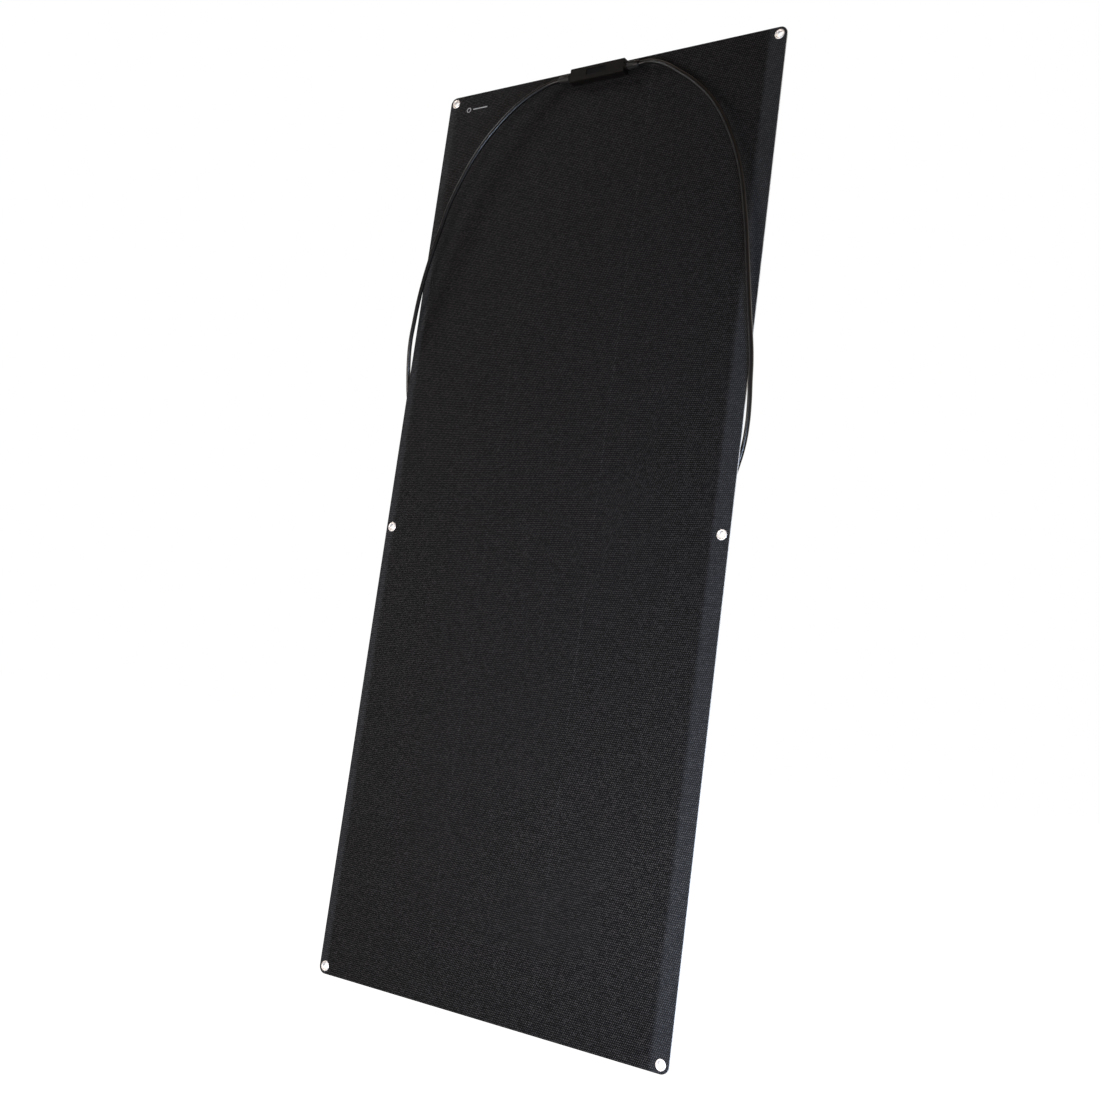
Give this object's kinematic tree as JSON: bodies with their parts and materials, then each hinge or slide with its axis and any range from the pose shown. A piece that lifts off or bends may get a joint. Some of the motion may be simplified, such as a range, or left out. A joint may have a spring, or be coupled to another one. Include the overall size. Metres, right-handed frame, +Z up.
{
  "type": "flexible solar panel",
  "caption": "Thin flexible solar panel with corner and middle eyelets, a slim front junction box and leads with plug connectors.",
  "frame": {"origin": "centre of the four corner eyelets, on the plane of the board's back face", "axes": "+X to the right seen from the front, +Y out of the back, +Z up to the edge with the junction box; the sunny side faces -Y"},
  "size_m": [0.5648, 0.0548, 1.265],
  "materials": {
    "board": "satin glass fibre laminate",
    "encapsulant": "clear to smoky cast film",
    "cells": "dark blue coated silicon",
    "ribbon": "tinned copper",
    "film": "embossed matt fluoropolymer film",
    "eyelet": "polished nickel plate",
    "adhesive": "foam tape",
    "box_plastic": "fine grained moulding",
    "seal_rubber": "soft silicone",
    "terminal_brass": "machined",
    "screw_steel": "zinc plated",
    "diode_epoxy": "moulded",
    "gland_plastic": "satin polyamide",
    "cable_jacket": "glossy cross-linked jacket",
    "copper_strand": "tinned strand",
    "connector_plastic": "satin polyamide",
    "contact_metal": "silver plated"
  },
  "bodies": {
    "panel": {"back_board": "board", "rear_encapsulant": "encapsulant", "cell_string_left": "cells", "cell_string_middle": "cells", "cell_string_right": "cells", "top_bus_ribbon": "ribbon", "bottom_bus_ribbon": "ribbon", "return_ribbon": "ribbon", "front_encapsulant": "encapsulant", "front_film": "film", "eyelet_shells": "eyelet", "eyelet_washers": "eyelet", "box_pad": "adhesive", "box_base": "box_plastic", "box_seal": "seal_rubber", "negative_terminal": "terminal_brass", "positive_terminal": "terminal_brass", "terminal_screws": "screw_steel", "bypass_diode": "diode_epoxy", "left_gland_seal": "seal_rubber", "right_gland_seal": "seal_rubber", "left_cable": "cable_jacket", "right_cable": "cable_jacket", "left_cable_core": "copper_strand", "right_cable_core": "copper_strand", "plug_body": "connector_plastic", "plug_seal": "seal_rubber", "plug_pin": "contact_metal", "socket_body": "connector_plastic", "socket_seal": "seal_rubber", "socket_contact": "contact_metal", "socket_ring": "seal_rubber"},
    "lid": {"box_lid": "box_plastic"},
    "left_gland_nut": {"left_gland_nut": "gland_plastic"},
    "right_gland_nut": {"right_gland_nut": "gland_plastic"},
    "plug_nut": {"plug_nut": "connector_plastic"},
    "socket_nut": {"socket_nut": "connector_plastic"}
  },
  "joints": [
    {"name": "lid_lift", "type": "slide", "parent": "panel", "child": "lid", "axis": [0, -1, 0], "range_m": [0, 0.03]},
    {"name": "left_gland_turn", "type": "hinge", "parent": "panel", "child": "left_gland_nut", "pos_m": [-0.059, -0.0085, 0.62], "axis": [-1, 0, 0], "continuous": true},
    {"name": "right_gland_turn", "type": "hinge", "parent": "panel", "child": "right_gland_nut", "pos_m": [0.049, -0.0085, 0.62], "axis": [1, 0, 0], "continuous": true},
    {"name": "plug_nut_turn", "type": "hinge", "parent": "panel", "child": "plug_nut", "pos_m": [-0.26, 0.023, -0.17], "axis": [0, 0, -1], "continuous": true},
    {"name": "socket_nut_turn", "type": "hinge", "parent": "panel", "child": "socket_nut", "pos_m": [0.236, 0.023, -0.161], "axis": [0, 0, -1], "continuous": true}
  ]
}
